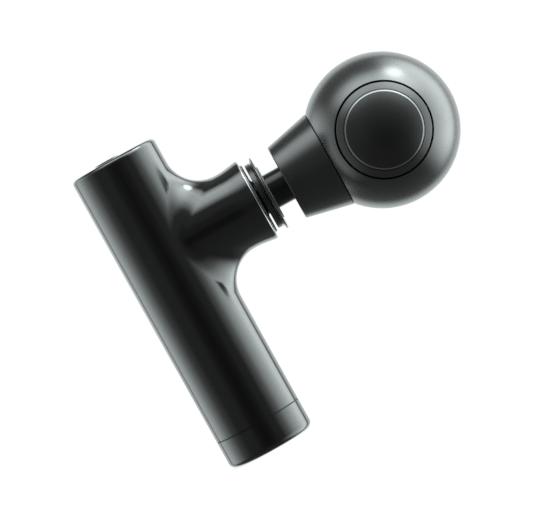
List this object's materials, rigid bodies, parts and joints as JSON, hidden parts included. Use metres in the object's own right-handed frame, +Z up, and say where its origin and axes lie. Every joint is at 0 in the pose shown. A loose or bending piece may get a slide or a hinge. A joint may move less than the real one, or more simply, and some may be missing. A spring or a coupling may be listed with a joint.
{
  "type": "massage gun",
  "caption": "Pocket massage gun: round handle with a short neck, crank-driven piston, ribbed collar and a removable ball head.",
  "frame": {"origin": "centre of the flat base face of the handle", "axes": "+Z up the handle, +X along the neck towards the ball head, piston fully retracted"},
  "size_m": [0.169, 0.0702, 0.1491],
  "materials": {
    "housing": "glossy dark gunmetal lacquer",
    "cap": "glossy dark gunmetal lacquer",
    "top_face": "smooth dark satin",
    "button": "smooth satin",
    "trim": "polished",
    "nose": "satin",
    "collar": "gloss black, fine ribs",
    "black_rubber": "moulded, fine ribs",
    "window": "translucent diffuser",
    "lamp": "clear lens",
    "cast_alloy": "die cast",
    "bronze": "sintered",
    "steel": "turned",
    "black_steel": "black oxide",
    "lamination": "stacked sheet",
    "copper": "enamelled copper wire",
    "magnet": "nickel plated",
    "cell_wrap": "shrink wrap",
    "holder": "moulded",
    "nickel": "strip",
    "board": "solder mask",
    "chip": "moulded",
    "wire": "insulated lead",
    "ribbon": "film",
    "stem_black": "gloss black",
    "cone": "matte charcoal, fine texture",
    "core": "moulded",
    "ball_skin": "satin soft-touch silicone",
    "side_ring": "satin",
    "side_disc": "smooth dark satin"
  },
  "bodies": {
    "root": {"housing_front": "housing", "housing_rear": "housing", "top_cap": "top_face", "top_lights": "window", "bottom_cap": "cap", "neck_trim_ring": "trim", "nose_plate": "nose", "wiper_seal": "black_rubber", "status_window": "window", "status_lamp": "lamp", "drive_frame": "cast_alloy", "guide_bushes": "bronze", "isolation_pads": "black_rubber", "cap_gasket": "black_rubber", "frame_screws": "steel", "motor_base": "cast_alloy", "motor_bearings": "steel", "motor_screws": "steel", "stator_core": "lamination", "stator_windings": "copper", "battery_cells": "cell_wrap", "battery_holder": "holder", "battery_tabs": "nickel", "control_board": "board", "control_chips": "chip", "board_screws": "steel", "charge_board": "board", "charge_socket": "steel", "charge_tongue": "chip", "cap_screws": "black_steel", "button_board": "board", "button_switch": "chip", "button_screws": "steel", "motor_leads": "wire", "battery_leads": "wire", "button_ribbon": "ribbon"},
    "button": {"power_button": "button", "switch_plunger": "chip"},
    "rotor": {"rotor_bell": "black_steel", "rotor_magnets": "magnet", "motor_shaft": "steel", "crank_disc": "steel", "crank_pin": "steel", "crank_bearing": "steel"},
    "key": {"shaft_key": "steel"},
    "piston": {"yoke": "steel", "yoke_pin": "steel", "piston": "black_steel", "shaft_collar": "collar", "collar_washer": "trim"},
    "head": {"head_stem": "stem_black", "plug_o_rings": "black_rubber", "head_core": "core", "head_cone": "cone", "ball_skin": "ball_skin", "side_rings": "side_ring", "side_discs": "side_disc"}
  },
  "joints": [
    {"name": "motor_spin", "type": "hinge", "parent": "root", "child": "rotor", "pos_m": [0, 0, 0.101], "axis": [0, 0, 1], "continuous": true},
    {"name": "key_turn", "type": "hinge", "parent": "rotor", "child": "key", "pos_m": [-0.002, 0, 0.101], "axis": [0, 0, 1], "continuous": true},
    {"name": "piston_stroke", "type": "hinge", "parent": "key", "child": "piston", "pos_m": [-0.004, 0, 0.101], "axis": [0, 0, 1], "continuous": true},
    {"name": "head_release", "type": "slide", "parent": "piston", "child": "head", "axis": [1, 0, 0], "range_m": [0, 0.03], "stiffness_N_per_m": 400},
    {"name": "button_press", "type": "slide", "parent": "root", "child": "button", "axis": [0, 0, -1], "range_m": [0, 0.0006], "stiffness_N_per_m": 600}
  ],
  "couplings": [
    {"joint": "key_turn", "follows": "motor_spin", "ratio": -2},
    {"joint": "piston_stroke", "follows": "motor_spin", "ratio": 1}
  ]
}
